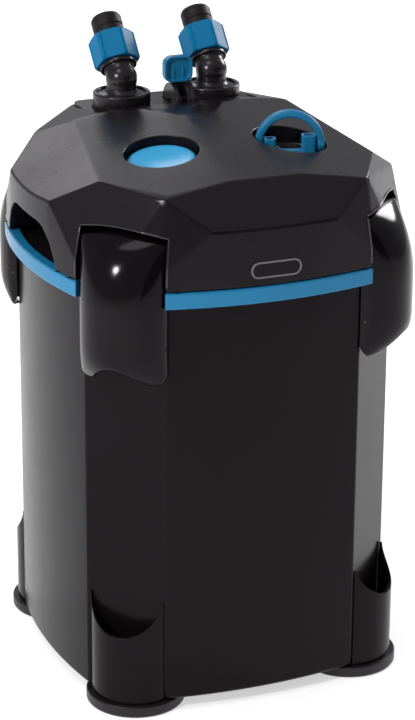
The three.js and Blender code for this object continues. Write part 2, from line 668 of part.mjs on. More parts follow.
// Hexagonal union nut with a thrust lip at its upper end.
function makeNut(side) {
  const inside = boreFor(9.7, ROUND);
  const lip = boreFor(8.8, ROUND);
  const { nutFrom, nutTo } = TAIL;
  const body = solid(rod(15.5, nutFrom, nutTo, 6).rotateZ(THREE.MathUtils.degToRad(8)));
  const rounding = solid(spun([
    [0, nutFrom], [14.3, nutFrom], [15.3, nutFrom + 1.4], [15.3, nutTo - 2], [13.9, nutTo], [0, nutTo],
  ]));
  const bore = solid(spun([
    [0, nutFrom - 1], [inside, nutFrom - 1], [inside, TAIL.lip], [lip, TAIL.lip], [lip, nutTo + 1], [0, nutTo + 1],
  ]));
  return solid(aim(geometryOf(cut(body.intersect(rounding), bore)), TAIL_AXIS, nozzleAt(side)));
}

function makeHoseTail(side) {
  const { joint, lip, nutTo, end } = TAIL;
  return solid(aim(spun([
    [6.8, joint + 0.3], [9.6, joint + 0.3], [9.6, lip - 0.4], [8.8, lip - 0.4], [8.8, nutTo + 0.4],
    [10.1, nutTo + 0.4], [10.1, end - 8.4], [9.4, end - 7.8], [10.1, end - 7.2], [10.1, end - 1.8],
    [9, end], [6.8, end], [6.8, joint + 0.3],
  ]), TAIL_AXIS, nozzleAt(side)));
}

function makeNozzlePlate() {
  const { halfLength, front, back, top, bottom } = PLATE;
  const plate = solid(prism(roundedRectangle(-halfLength, halfLength, front, back, 5.6), bottom, top));
  const holes = [-1, 1].map((side) => (
    solid(rod(NOZZLE.outer + 0.5, 340, 370, WIDE).translate(side * NOZZLE.x, NOZZLE.y, 0))
  ));
  const reach = VALVE.bossRadius + 0.35;
  const bossHole = box(VALVE.bossEnd - 0.35, NOZZLE.x, NOZZLE.y - reach, NOZZLE.y + reach, 340, 370);
  return cut(plate, ...holes, solid(bossHole));
}

// A paddle on a neck that swings in the boss's slot. Both of its faces are dished.
function makeValveLever() {
  const { axisZ, slotFrom, slotTo } = VALVE;
  const from = slotFrom + TOUCH;
  const to = slotTo - TOUCH;
  const middle = (from + to) / 2;
  const y = NOZZLE.y;
  const hub = solid(alongX(rod(5, from, to), 0, y, axisZ));
  const neck = solid(box(from, to, y - 2.2, y + 2.2, axisZ, 371));
  const outline = roundedRectangle(middle - 9.8, middle + 9.8, 368.8, 386, 5.5);
  const paddle = solid(sideways(outline, 2.6).translate(0, y, 0));
  const dishes = [-1, 1].map((side) => solid(
    sideways(roundedRectangle(middle - 8.1, middle + 8.1, 370.6, 384.3, 4.1), 1.5).translate(0, y + side * 2.7, 0),
  ));
  const bore = solid(alongX(rod(boreFor(VALVE.spindle, FINE), from - 1, to + 1, FINE), 0, y, axisZ));
  return cut(join(hub, neck, cut(paddle, ...dishes)), bore);
}

function makeValveSpindle() {
  const stem = solid(alongX(rod(VALVE.spindle, VALVE.bossEnd + 0.8, NOZZLE.x, FINE), 0, NOZZLE.y, VALVE.axisZ));
  const ball = solid(new THREE.SphereGeometry(7.6, FINE, 8).translate(NOZZLE.x, NOZZLE.y, VALVE.axisZ));
  const way = solid(rod(5.4, 340, 370, FINE).translate(NOZZLE.x, NOZZLE.y, 0));
  return cut(join(stem, ball), way);
}

for (const [label, side] of [['left', -1], ['right', 1]]) {
  place(`hose_socket_${label}`, makeSocket(side), darkPart());
  place(`hose_elbow_${label}`, makeElbow(side), darkPart());
  place(`hose_nut_${label}`, makeNut(side), accentBlue());
  place(`hose_tail_${label}`, makeHoseTail(side), finish('#262425', 0.6));
}
place('nozzle_plate', makeNozzlePlate(), headSkin());
place('valve_lever', makeValveLever(), accentBlue());
place('valve_spindle', makeValveSpindle(), finish('#3b3d40', 0.4));

// ---------------------------------------------------------------- pump

const atPump = (geometry) => geometry.translate(PUMP.x, PUMP.y, 0);

function makeImpeller() {
  const { shaft } = PUMP;
  const hub = solid(spun([
    [0, 255.5], [shaft, 255.5], [shaft, 261], [5, 261], [5, 270.5], [19, 270.5], [19, 272.5], [shaft, 272.5],
    [shaft, 317.5], [0, 317.5],
  ]));
  const vanes = [];
  for (let turn = 0; turn < 3; turn += 1) {
    vanes.push(solid(box(-18.5, 18.5, -0.8, 0.8, 262, 271).rotateZ(turn * Math.PI / 3)));
  }
  return solid(atPump(geometryOf(join(hub, ...vanes))));
}

function makeImpellerCover() {
  const cup = solid(spun([
    [0, 254.5], [22, 254.5], [24, 256.5], [24, 274.6], [21.5, 274.6], [21.5, 258], [0, 258],
  ]));
  const inlets = [];
  for (let turn = 0; turn < 4; turn += 1) {
    inlets.push(solid(rod(4.4, 250, 260, FINE).translate(10.5, 0, 0).rotateZ(turn * Math.PI / 2)));
  }
  const bush = solid(rod(boreFor(PUMP.shaft, ROUND), 250, 260));
  return solid(atPump(geometryOf(cut(cup, ...inlets, bush))));
}

const bushRadius = boreFor(PUMP.shaft, ROUND);
const stator = spun([
  [PUMP.wellRadius, 283.3], [PUMP.statorRadius, 283.3], [PUMP.statorRadius, 324], [0, 324], [0, 318],
  [bushRadius, 318], [bushRadius, 313.5], [PUMP.wellRadius, 313.5], [PUMP.wellRadius, 283.3],
]);
const magnet = spun([[1.8, 274], [9.6, 274], [9.6, 312.8], [1.8, 312.8], [1.8, 274]]);
place('pump_stator', solid(atPump(stator)), finish('#2b2d2f', 0.5));
place('rotor_magnet', solid(atPump(magnet)), finish('#4a4c4e', 0.45, 0.4));
place('impeller', makeImpeller(), finish('#e6e3da', 0.45));
place('impeller_cover', makeImpellerCover(), finish('#202326', 0.4));

export default filter;
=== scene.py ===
# Canister filter: the looks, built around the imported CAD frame. Dimensions below are in millimetres.
import json
import math

import bmesh
import bpy
from mathutils import Matrix, Vector


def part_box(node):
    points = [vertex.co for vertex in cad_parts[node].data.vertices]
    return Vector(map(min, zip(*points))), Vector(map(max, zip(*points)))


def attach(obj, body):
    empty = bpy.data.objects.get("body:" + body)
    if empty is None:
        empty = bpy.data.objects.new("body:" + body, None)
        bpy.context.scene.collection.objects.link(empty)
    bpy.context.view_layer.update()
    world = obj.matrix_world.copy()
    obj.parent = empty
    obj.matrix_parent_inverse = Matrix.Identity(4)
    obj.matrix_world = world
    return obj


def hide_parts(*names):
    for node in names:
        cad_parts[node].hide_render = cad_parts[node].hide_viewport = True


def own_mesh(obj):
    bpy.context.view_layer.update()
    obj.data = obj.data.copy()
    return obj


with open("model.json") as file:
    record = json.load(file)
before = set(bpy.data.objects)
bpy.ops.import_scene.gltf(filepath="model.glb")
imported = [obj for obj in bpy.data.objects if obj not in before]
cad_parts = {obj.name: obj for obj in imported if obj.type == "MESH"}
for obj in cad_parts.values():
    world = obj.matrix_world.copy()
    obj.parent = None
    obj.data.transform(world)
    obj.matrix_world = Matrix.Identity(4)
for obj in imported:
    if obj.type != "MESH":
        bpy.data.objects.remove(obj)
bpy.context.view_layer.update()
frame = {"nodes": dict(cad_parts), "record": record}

MM = 0.001
RECORD = frame["record"]
BODY = {node: body for body, nodes in RECORD["behaviour"]["bodies"].items() for node in nodes}
SLOT = {part["node"]: part["material_slot"] for part in RECORD["subparts"]}

# ---------------------------------------------------------------- dimensions

WALL = 3
CANISTER = dict(half=104, edge=64.5, bow=6, bottom=8, floor=12, top=274.6)
STRIP = (104 + 64.5) / math.sqrt(2)
HEAD = dict(half=109.5, edge=73.3, bow=10, bottom=285.8, grip_top=311)
BAND = dict(half=110, edge=73.3, bow=10, bottom=275, top=285.5)
BASE = dict(half=105.1, edge=57.4, bow=8)
FOOT_CENTRE = 106.6
PLATE = dict(half=57, front=41.5, back=87.5, top=355.5, bottom=351.5)
NOZZLE_X, NOZZLE_Y, BEND_Z, LEAN = 31.6, 62, 374.5, math.radians(42)
VALVE_X = 7.6
WELL_RADIUS = 23.6
BOSS_RADIUS, BOSS_Z = 13.5, 354.5
LATCH_PIVOT = (117, 0, 302)
HOOK_PIVOT = (122.8, 0, 249)
FOOT_RADIUS, LEG_RADIUS = 32, 28.5
NECK_TOP = 368.9
FOAM_BORE = 9.1
BUTTON_AT = (-43, -38.5)
CAP_AT = (43, -40)
BAIL_TURN = math.radians(-19)
BAIL_Z = 349
CORNERS = {"front_right": -45, "back_right": 45, "back_left": 135, "front_left": -135}

# ---------------------------------------------------------------- outlines


def arc(centre, radius, start, end, steps):
    points = []
    for step in range(steps + 1):
        angle = math.radians(start + (end - start) * step / steps)
        points.append((centre[0] + radius * math.cos(angle), centre[1] + radius * math.sin(angle)))
    return points


def rounded(points, steps=5, closed=True):
    """A polygon of (a, b, radius) corners, with each corner turned into an arc of its radius."""
    result = []
    for i, (x, y, radius) in enumerate(points):
        at_end = not closed and i in (0, len(points) - 1)
        if radius == 0 or at_end:
            result.append((x, y))
            continue
        corner = Vector((x, y))
        before = Vector(points[i - 1][:2]) - corner
        after = Vector(points[(i + 1) % len(points)][:2]) - corner
        reach = 0.48 * min(before.length, after.length)
        before.normalize()
        after.normalize()
        half_angle = before.angle(after) / 2
        cut = min(radius / math.tan(half_angle), reach)
        real = cut * math.tan(half_angle)
        centre = corner + (before + after).normalized() * real / math.sin(half_angle)
        first = corner + before * cut - centre
        last = corner + after * cut - centre
        start = math.atan2(first.y, first.x)
        turn = (math.atan2(last.y, last.x) - start + math.pi) % (2 * math.pi) - math.pi
        for step in range(steps + 1):
            angle = start + turn * step / steps
            result.append((centre.x + real * math.cos(angle), centre.y + real * math.sin(angle)))
    return result


def bowed_square(half, edge, bow, steps=24, radius=0.0):
    """Plan outline of four bowed walls joined by straight corner strips."""
    corners = []
    for side in range(4):
        turn = Matrix.Rotation(side * math.pi / 2, 2)
        for step in range(steps + 1):
            across = edge * (2 * step / steps - 1)
            out = half + bow * (1 - (across / edge) ** 2)
            x, y = turn @ Vector((across, -out))
            corners.append((x, y, radius if step in (0, steps) else 0))
    return rounded(corners, steps=4)


def rounded_box(x0, x1, y0, y1, radius, steps=8):
    return rounded([(x1, y0, radius), (x1, y1, radius), (x0, y1, radius), (x0, y0, radius)], steps)


def smooth_line(points, between=4):
    """A Catmull-Rom curve through a list of 3-D points."""
    line = [Vector(p) for p in points]
    line = [2 * line[0] - line[1], *line, 2 * line[-1] - line[-2]]
    result = []
    for a, b, c, d in zip(line, line[1:], line[2:], line[3:]):
        for step in range(between):
            t = step / between
            result.append(0.5 * (2 * b + (c - a) * t + (2 * a - 5 * b + 4 * c - d) * t * t
                                 + (3 * b - a - 3 * c + d) * t ** 3))
    return [*result, line[-2]]


# ---------------------------------------------------------------- meshes


def build(name, vertices, faces):
    mesh = bpy.data.meshes.new(name)
    mesh.from_pydata([[MM * c for c in v] for v in vertices], [], faces)
    bm = bmesh.new()
    bm.from_mesh(mesh)
    bmesh.ops.remove_doubles(bm, verts=bm.verts, dist=1e-6)
    bmesh.ops.recalc_face_normals(bm, faces=bm.faces)
    bm.to_mesh(mesh)
    bm.free()
    obj = bpy.data.objects.new(name, mesh)
    bpy.context.scene.collection.objects.link(obj)
    return obj


def loft(rings, closed=False):
    """Joins rings that have the same number of points. The ends are capped unless it closes on itself."""
    count = len(rings[0])
    vertices = [p for ring in rings for p in ring]
    faces = []
    pairs = list(zip(range(len(rings)), range(1, len(rings))))
    if closed:
        pairs.append((len(rings) - 1, 0))
    for a, b in pairs:
        for i in range(count):
            j = (i + 1) % count
            faces.append((a * count + i, a * count + j, b * count + j, b * count + i))
    if not closed:
        faces.append(tuple(range(count)))
        faces.append(tuple((len(rings) - 1) * count + i for i in range(count)))
    return vertices, faces


def prism(outline, bottom, top):
    return loft([[(x, y, bottom) for x, y in outline], [(x, y, top) for x, y in outline]])


def along_x(profile, start, end):
    """A (y, z) profile extruded along X."""
    return loft([[(start, y, z) for y, z in profile], [(end, y, z) for y, z in profile]])


def along_y(profile, start, end):
    """An (x, z) profile extruded along Y."""
    return loft([[(x, start, z) for x, z in profile], [(x, end, z) for x, z in profile]])


def box(x0, x1, y0, y1, z0, z1):
    return prism([(x0, y0), (x1, y0), (x1, y1), (x0, y1)], z0, z1)


def spun(profile, segments=72, move=(0, 0, 0)):
    """A (radius, z) profile turned about Z. It starts and ends on the axis, or closes on itself."""
    vertices, rings, faces = [], [], []
    for radius, z in profile:
        count = 1 if radius < 1e-6 else segments
        rings.append(range(len(vertices), len(vertices) + count))
        for i in range(count):
            angle = 2 * math.pi * i / segments
            vertices.append((radius * math.cos(angle) + move[0], radius * math.sin(angle) + move[1],
                             z + move[2]))
    pairs = list(zip(rings, rings[1:]))
    if len(rings[0]) > 1:
        pairs.append((rings[-1], rings[0]))
    for a, b in pairs:
        for i in range(segments):
            j = (i + 1) % segments
            if len(a) == 1 and len(b) == 1:
                break
            if len(a) == 1:
                faces.append((a[0], b[i], b[j]))
            elif len(b) == 1:
                faces.append((a[i], a[j], b[0]))
            else:
                faces.append((a[i], a[j], b[j], b[i]))
    return vertices, faces


def rod(radius, bottom, top, segments=72, move=(0, 0, 0)):
    return spun([(0, bottom), (radius, bottom), (radius, top), (0, top)], segments, move)


def ball(radius, move, segments=48):
    profile = [(radius * math.sin(math.pi * i / 24), -radius * math.cos(math.pi * i / 24)) for i in range(25)]
    profile[0] = (0, -radius)
    profile[-1] = (0, radius)
    return spun(profile, segments, move)


def moved(shape, matrix):
    vertices, faces = shape
    return [tuple(matrix @ Vector(v)) for v in vertices], faces


def lying_x(shape, at):
    """Turns a shape made along Z so that it lies along X."""
    return moved(shape, Matrix.Translation(at) @ Matrix.Rotation(math.pi / 2, 4, "Y"))


def lying_y(shape, at):
    return moved(shape, Matrix.Translation(at) @ Matrix.Rotation(-math.pi / 2, 4, "X"))


def hull(name, points):
    obj = build(name, points, [])
    bm = bmesh.new()
    bm.from_mesh(obj.data)
    bmesh.ops.convex_hull(bm, input=bm.verts)
    loose = [v for v in bm.verts if not v.link_faces]
    bmesh.ops.delete(bm, geom=loose, context="VERTS")
    bmesh.ops.dissolve_limit(bm, angle_limit=math.radians(0.6), verts=bm.verts, edges=bm.edges)
    bmesh.ops.recalc_face_normals(bm, faces=bm.faces)
    bm.to_mesh(obj.data)
    bm.free()
    return obj


def round_edges(obj, width, angle, segments):
    bevel = obj.modifiers.new("round", "BEVEL")
    bevel.width = width * MM
    bevel.segments = segments
    bevel.limit_method = "ANGLE"
    bevel.angle_limit = math.radians(angle)
    return bevel


def keep_sharp(obj):
    weighted = obj.modifiers.new("weighted", "WEIGHTED_NORMAL")
    weighted.keep_sharp = True


def settle(obj):
    """Applies an object's modifiers to its mesh."""
    graph = bpy.context.evaluated_depsgraph_get()
    mesh = bpy.data.meshes.new_from_object(obj.evaluated_get(graph))
    obj.modifiers.clear()
    obj.data = mesh


def combine(obj, operation, *shapes):
    """Joins, cuts or crosses an object with shapes, which are (vertices, faces) or other objects."""
    tools = [s if isinstance(s, bpy.types.Object) else build("tool", *s) for s in shapes]
    for tool in tools:
        modifier = obj.modifiers.new("combine", "BOOLEAN")
        modifier.operation = operation
        modifier.solver = "MANIFOLD"
        modifier.object = tool
    settle(obj)
    for tool in tools:
        bpy.data.objects.remove(tool)
    return obj


def join(obj, *shapes):
    return combine(obj, "UNION", *shapes)


def cut(obj, *shapes):
    return combine(obj, "DIFFERENCE", *shapes)


def cross(obj, *shapes):
    return combine(obj, "INTERSECT", *shapes)


def soften(obj, width=0.4, angle=30, segments=3, sharp=40, clamp=True):
    """Rounds the edges sharper than an angle, then shades the faces smoothly."""
    if width:
        bm = bmesh.new()
        bm.from_mesh(obj.data)
        bmesh.ops.remove_doubles(bm, verts=bm.verts, dist=2e-5)
        bmesh.ops.dissolve_limit(bm, angle_limit=math.radians(0.3), verts=bm.verts, edges=bm.edges)
        bm.to_mesh(obj.data)
        bm.free()
        round_edges(obj, width, angle, segments).use_clamp_overlap = clamp
        settle(obj)
    # zero-area faces left by the booleans
    bm = bmesh.new()
    bm.from_mesh(obj.data)
    bmesh.ops.remove_doubles(bm, verts=bm.verts, dist=1e-6)
    bmesh.ops.dissolve_degenerate(bm, dist=1e-6, edges=bm.edges)
    bm.to_mesh(obj.data)
    bm.free()
    obj.data.shade_smooth()
    obj.data.set_sharp_from_angle(angle=math.radians(sharp))
    keep_sharp(obj)
    return obj


def stand_for(obj, material, node, *more):
    """Gives a piece its material, and makes it stand for CAD nodes and ride on their body."""
    obj.data.materials.clear()
    obj.data.materials.append(material)
    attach(obj, BODY[node])
    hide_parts(node, *more)
    return obj


def at_corners(obj, material, stem, node_stem):
    """Repeats a piece that was made in the corner frame, where X runs outward, at the four corners."""
    for corner, degrees in CORNERS.items():
        copy = bpy.data.objects.new(f"{stem}_{corner}", obj.data.copy())
        bpy.context.scene.collection.objects.link(copy)
        for modifier in obj.modifiers:
            same = copy.modifiers.new(modifier.name, modifier.type)
            same.keep_sharp = True
        copy.data.transform(Matrix.Rotation(math.radians(degrees), 4, "Z"))
        stand_for(copy, material, f"{node_stem}_{corner}")
    bpy.data.objects.remove(obj)


def each_corner(shape):
    return [moved(shape, Matrix.Rotation(math.radians(d), 4, "Z")) for d in CORNERS.values()]


# ---------------------------------------------------------------- materials


def plastic(name, color, rough, spread=0.05, grain=900, bump=0.04, coat=0.0, specular=0.5, tint=None,
            painted_shade_wall_specular=None):
    """Moulded plastic: a fine skin, uneven gloss, faint flow marks, and edges a little paler, partly from wear and
    partly as a painted highlight.
    """
    material = bpy.data.materials.new(name)
    material.use_nodes = True
    nodes, links = material.node_tree.nodes, material.node_tree.links
    shader = nodes["Principled BSDF"]
    shader.inputs["Specular IOR Level"].default_value = specular
    shader.inputs["Coat Weight"].default_value = coat
    shader.inputs["Coat Roughness"].default_value = 0.08
    place = nodes.new("ShaderNodeTexCoord")

    def noise(scale, detail):
        node = nodes.new("ShaderNodeTexNoise")
        node.inputs["Scale"].default_value = scale
        node.inputs["Detail"].default_value = detail
        links.new(place.outputs["Object"], node.inputs["Vector"])
        return node.outputs["Fac"]

    def ramp(source, low, high, start=0.3, end=0.7):
        node = nodes.new("ShaderNodeMapRange")
        node.inputs["From Min"].default_value = start
        node.inputs["From Max"].default_value = end
        node.inputs["To Min"].default_value = low
        node.inputs["To Max"].default_value = high
        links.new(source, node.inputs["Value"])
        return node.outputs["Result"]

    flow = noise(14, 3)
    fine = noise(grain, 2)
    wear_noise = noise(160, 4)

    # edges: where a rounded normal leaves the face normal
    rounding = nodes.new("ShaderNodeBevel")
    rounding.samples = 4
    rounding.inputs["Radius"].default_value = 0.0009
    geometry = nodes.new("ShaderNodeNewGeometry")
    facing = nodes.new("ShaderNodeVectorMath")
    facing.operation = "DOT_PRODUCT"
    links.new(rounding.outputs["Normal"], facing.inputs[0])
    links.new(geometry.outputs["Normal"], facing.inputs[1])
    edge = ramp(facing.outputs["Value"], 1.0, 0.0, 0.70, 0.92)
    # mask of the paler edges, broken up by noise: part wear, part painted highlight
    edge_wear_and_highlight_mask = nodes.new("ShaderNodeMath")
    edge_wear_and_highlight_mask.operation = "MULTIPLY"
    links.new(edge, edge_wear_and_highlight_mask.inputs[0])
    links.new(ramp(wear_noise, 0.15, 0.8), edge_wear_and_highlight_mask.inputs[1])

    base = nodes.new("ShaderNodeMix")
    base.data_type = "RGBA"
    base.inputs["A"].default_value = (*color, 1)
    base.inputs["B"].default_value = (*(tint or [c * 1.35 for c in color]), 1)
    links.new(ramp(flow, 0.0, 1.0), base.inputs["Factor"])
    # the edges are mixed paler: partly wear, partly a painted highlight along them
    edge_wear_and_highlight_mix = nodes.new("ShaderNodeMix")
    edge_wear_and_highlight_mix.data_type = "RGBA"
    edge_wear_and_highlight_mix.inputs["B"].default_value = (*[min(1, c * 1.6 + 0.02) for c in color], 1)
    links.new(base.outputs["Result"], edge_wear_and_highlight_mix.inputs["A"])
    links.new(edge_wear_and_highlight_mask.outputs["Value"], edge_wear_and_highlight_mix.inputs["Factor"])
    links.new(edge_wear_and_highlight_mix.outputs["Result"], shader.inputs["Base Color"])

    gloss = nodes.new("ShaderNodeMath")
    gloss.operation = "ADD"
    links.new(ramp(flow, rough - spread, rough + spread), gloss.inputs[0])
    links.new(ramp(wear_noise, -spread * 0.4, spread * 0.4), gloss.inputs[1])
    links.new(gloss.outputs["Value"], shader.inputs["Roughness"])

    skin = nodes.new("ShaderNodeBump")
    skin.inputs["Strength"].default_value = bump
    skin.inputs["Distance"].default_value = 0.0002
    links.new(fine, skin.inputs["Height"])
    links.new(rounding.outputs["Normal"], skin.inputs["Normal"])
    links.new(skin.outputs["Normal"], shader.inputs["Normal"])

    # the dark plastics throw the light back a little plum
    if max(color) < 0.02:
        shader.inputs["Specular Tint"].default_value = (1.0, 0.90, 0.97, 1)

    # painted by facing: the upward faces reflect more than the walls, a painted sheen on the tops and painted shade
    # on the walls
    if painted_shade_wall_specular is not None:
        split = nodes.new("ShaderNodeSeparateXYZ")
        links.new(geometry.outputs["Normal"], split.inputs[0])
        links.new(ramp(split.outputs["Z"], painted_shade_wall_specular, specular, 0.15, 0.45), shader.inputs["Specular IOR Level"])
    return material


CASING = plastic("casing_gloss", (0.0050, 0.0037, 0.0043), 0.20, 0.04, 700, 0.03, specular=0.11,
                 tint=(0.0064, 0.0046, 0.0056))
# the head's walls reflect less than its tops: painted shade on the walls
HEAD_SKIN = plastic("head_satin", (0.0072, 0.0057, 0.0070), 0.27, 0.04, 1500, 0.035, specular=0.38,
                    tint=(0.0088, 0.0070, 0.0085), painted_shade_wall_specular=0.16)
LATCH_SKIN = plastic("latch_gloss", (0.0040, 0.0032, 0.0037), 0.13, 0.03, 600, 0.02, specular=0.16,
                     tint=(0.0052, 0.0042, 0.0048))
BLUE = plastic("accent_blue", (0.010, 0.195, 0.390), 0.30, 0.05, 900, 0.04, specular=0.28,
               tint=(0.013, 0.220, 0.440))
STEEL = plastic("steel", (0.42, 0.42, 0.43), 0.28, 0.08, 1200, 0.06)
STEEL.node_tree.nodes["Principled BSDF"].inputs["Metallic"].default_value = 0.95
# the recess lips: a glossier copy of the head plastic, made paler as a painted highlight along the rims
LIP_PAINTED_HIGHLIGHT = plastic("lip_gloss_painted_highlight", (0.0110, 0.0095, 0.0105), 0.16, 0.03, 900, 0.02, specular=0.7)
NUT_BLUE = plastic("nut_blue", (0.001, 0.140, 0.310), 0.34, 0.05, 900, 0.05, specular=0.09,
                   tint=(0.003, 0.190, 0.390))
BLUE_GLOSS = plastic("button_blue", (0.030, 0.400, 0.740), 0.20, 0.04, 700, 0.03, coat=0.05, specular=0.3,
                     tint=(0.050, 0.480, 0.860))
DARK = plastic("fitting_dark", (0.0090, 0.0080, 0.0085), 0.26, 0.06, 900, 0.05, specular=0.45)
MATT_DARK = plastic("tail_dark", (0.0085, 0.0072, 0.0072), 0.48, 0.08, 1300, 0.12, specular=0.25)
RUBBER = plastic("foot_rubber", (0.0100, 0.0090, 0.0095), 0.42, 0.08, 1100, 0.14, specular=0.35)

# ---------------------------------------------------------------- canister, legs and feet


def canister_ring(inset, z):
    outline = bowed_square(CANISTER["half"] - inset, CANISTER["edge"] - 0.4 * inset, CANISTER["bow"], radius=3.5)
    return [(x, y, z) for x, y in outline]


def make_canister():
    bottom, floor, top = CANISTER["bottom"], CANISTER["floor"], CANISTER["top"]
    rings = [canister_ring(3.2 - 3.2 * math.sin(math.radians(a)), bottom + 3.2 - 3.2 * math.cos(math.radians(a)))
             for a in (0, 15, 30, 45, 60, 75, 90)]
    rings += [canister_ring(i, z) for i, z in (
        (0, top - 0.7), (0.2, top - 0.2), (0.7, top), (WALL - 0.7, top), (WALL - 0.2, top - 0.2),
        (WALL, top - 0.7), (WALL, floor),
    )]
    shell = build("canister_shell", *loft(rings))
    lug = along_y([(STRIP - 1, 262.3), (STRIP + 1.2, 262.3), (STRIP + 1.2, 267), (STRIP + 0.4, 268),
                   (STRIP - 1, 268)], -12, 12)
    join(shell, *each_corner(lug))
    return soften(shell, 0)


def make_leg():
    face = STRIP + 0.3
    spread = math.degrees(math.acos((face - FOOT_CENTRE) / LEG_RADIUS))
    column = build("leg", *prism(arc((FOOT_CENTRE, 0), LEG_RADIUS, -spread, spread, 56), CANISTER["bottom"], 76))
    pocket = prism([(face - 5, -22.6), *arc((FOOT_CENTRE, 0), 25.9, -60.5, 60.5, 48), (face - 5, 22.6)], 22, 90)
    scoop = [(-24.4, 90), *[(24.4 * c, 76 + 22 * s) for c, s in arc((0, 0), 1, 180, 360, 48)], (24.4, 90)]
    cut(column, pocket, along_x(scoop, 90, 150))
    return soften(column, 0.75, 38, 3)


def make_foot():
    profile = rounded([(0, 0, 0), (31, 0, 0.8), (FOOT_RADIUS, 1.4, 0.5), (FOOT_RADIUS, 7.7, 0.9), (0, 7.7, 0)],
                      4, closed=False)
    return soften(build("foot_pad", *spun(profile, 96, (FOOT_CENTRE, 0, 0))), 0)


stand_for(make_canister(), CASING, "canister")
at_corners(make_leg(), CASING, "leg", "corner_leg")
at_corners(make_foot(), RUBBER, "foot_pad", "foot")

# ---------------------------------------------------------------- seam band


def make_band():
    rings = []
    for inset, z in rounded([(0, 275, 1.1), (0, 285.5, 1.1), (3, 285.5, 0), (3, 275, 0)], 4):
        if inset < 2.9:
            outline = bowed_square(BAND["half"] - inset, BAND["edge"], BAND["bow"])
        else:
            outline = bowed_square(BASE["half"] + 0.3, BASE["edge"] + 0.3, BASE["bow"])
        rings.append([(x, y, z) for x, y in outline])
    band = build("band_ring", *loft(rings, closed=True))
    cut(band, *each_corner(box(STRIP - 0.85, 160, -29.6, 29.6, 270, 290)))
    return soften(band, 0.35, 45, 2)


stand_for(make_band(), BLUE, "seam_band")

# ---------------------------------------------------------------- head

CREASE = smooth_line([
    (24, -100.5, 348), (17, -76, 351.4), (13.5, -60, 353.6), (10, -40, 355.9), (8.5, -18, 358.3),
    (10, 3, 360.5), (17, 17, 361.3), (33, 30, 361.3), (54, 36, 359.5), (73.8, 36, 357),
])
FACETS = [
    (21, -118.7, 322), (41, -117, 322), (62, -101, 343.2), (67, -104, 341.8),
    (91.6, -60.6, 344.3), (91.6, 62, 344.5),
    (70.5, -110, 296), (110, -71, 296), (88, -95, 305), (70.5, 110, 296), (110, 71, 296), (88, 95, 305),
    (28, 93, 355), (56, 89.5, 352.6), (66, 104, 339.5), (41, 117, 322), (21, 118.7, 322),
]


def head_form(name, inset):
    scale = 1 - inset / 114
    points = []
    sides = []
    for step in range(-8, 9):
        y = 37.6 * step / 8
        x = HEAD["half"] + HEAD["bow"] * (1 - (y / HEAD["edge"]) ** 2)
        sides.append((x, y, (336.9 - 0.56 * x) / 0.828))
    for x, y, z in [*[tuple(p) for p in CREASE], *FACETS, *sides]:
        points += [(x * scale, y * scale, z - inset), (-x * scale, y * scale, z - inset)]
    for y in (-119.5, 119.5):
        points.append((0, y * scale, 322 - inset))
    for x, y in bowed_square(HEAD["half"], HEAD["edge"], HEAD["bow"]):
        points.append((x * scale, y * scale, HEAD["bottom"] - (1 if inset else 0)))
    return hull(name, points)


def grip(grow):
    top = HEAD["grip_top"] + grow
    half = 46 + grow
    low = HEAD["bottom"] - 2
    right = [(half, low, 0), (half - 3, 292, 8), (half - 9, 302, 10), (half - 18, top - 2, 10), (half - 26, top, 8)]
    left = [(-y, z, r) for y, z, r in reversed(right)]
    return rounded([*right, *left], 4)


def recess():
    outline = [(-29.7, 280), (29.7, 280)]
    for step in range(33):
        v = 29.7 * (1 - step / 16)
        outline.append((v, 318.5 + 3 * (1 - (v / 29.7) ** 2)))
    return along_x(outline, 107.8, 150)


def make_head():
    form = head_form("head_shell", 0)
    round_edges(form, 1.5, 7, 3)
    settle(form)
    limit = head_form("limit", 0.9)
    inner = head_form("inner", WALL)

    half, front, back = PLATE["half"], PLATE["front"], PLATE["back"]
    added = build("added", *rod(26.2, 300, 370, 96, (*BUTTON_AT, 0)))
    join(added, rod(26.2, 292, 370, 96, (*CAP_AT, 0)),
         box(-half - 3.4, half + 3.4, front - 3.4, back + 3.4, PLATE["bottom"], 370),
         along_x(grip(3), 88, 130), along_x(grip(3), -130, -88),
         *each_corner(box(104.8, 124, -36, 36, HEAD["bottom"], 324.5)))
    cross(added, limit, box(-130, 130, -130, 130, HEAD["bottom"], 400))
    cut(form, inner)
    join(form, added)
    pin_hole = lying_y(rod(1.68, -35, 35, 32), LATCH_PIVOT)
    cut(form,
        rod(WELL_RADIUS, 280, 390, 96, (*BUTTON_AT, 0)), rod(WELL_RADIUS, 280, 390, 96, (*CAP_AT, 0)),
        prism(rounded_box(-half - 0.4, half + 0.4, front - 0.4, back + 0.4, 6), 300, 390),
        along_x(grip(0), 91, 130), along_x(grip(0), -130, -91),
        *each_corner(recess()), *each_corner(pin_hole),
        lying_y(rod(5, -8, 8, 48), (50, 111, 300)))
    return soften(form, 0.55, 48, 3, clamp=False)


def tube(points, radius, segments=10):
    """A round bead along a line of points."""
    rings = []
    for i, point in enumerate(points):
        ahead = (points[min(i + 1, len(points) - 1)] - points[max(i - 1, 0)]).normalized()
        side = ahead.cross(Vector((0, 0, 1)) if abs(ahead.z) < 0.9 else Vector((1, 0, 0))).normalized()
        up = side.cross(ahead)
        rings.append([tuple(point + radius * (math.cos(a) * side + math.sin(a) * up))
                      for a in (2 * math.pi * k / segments for k in range(segments))])
    return loft(rings)


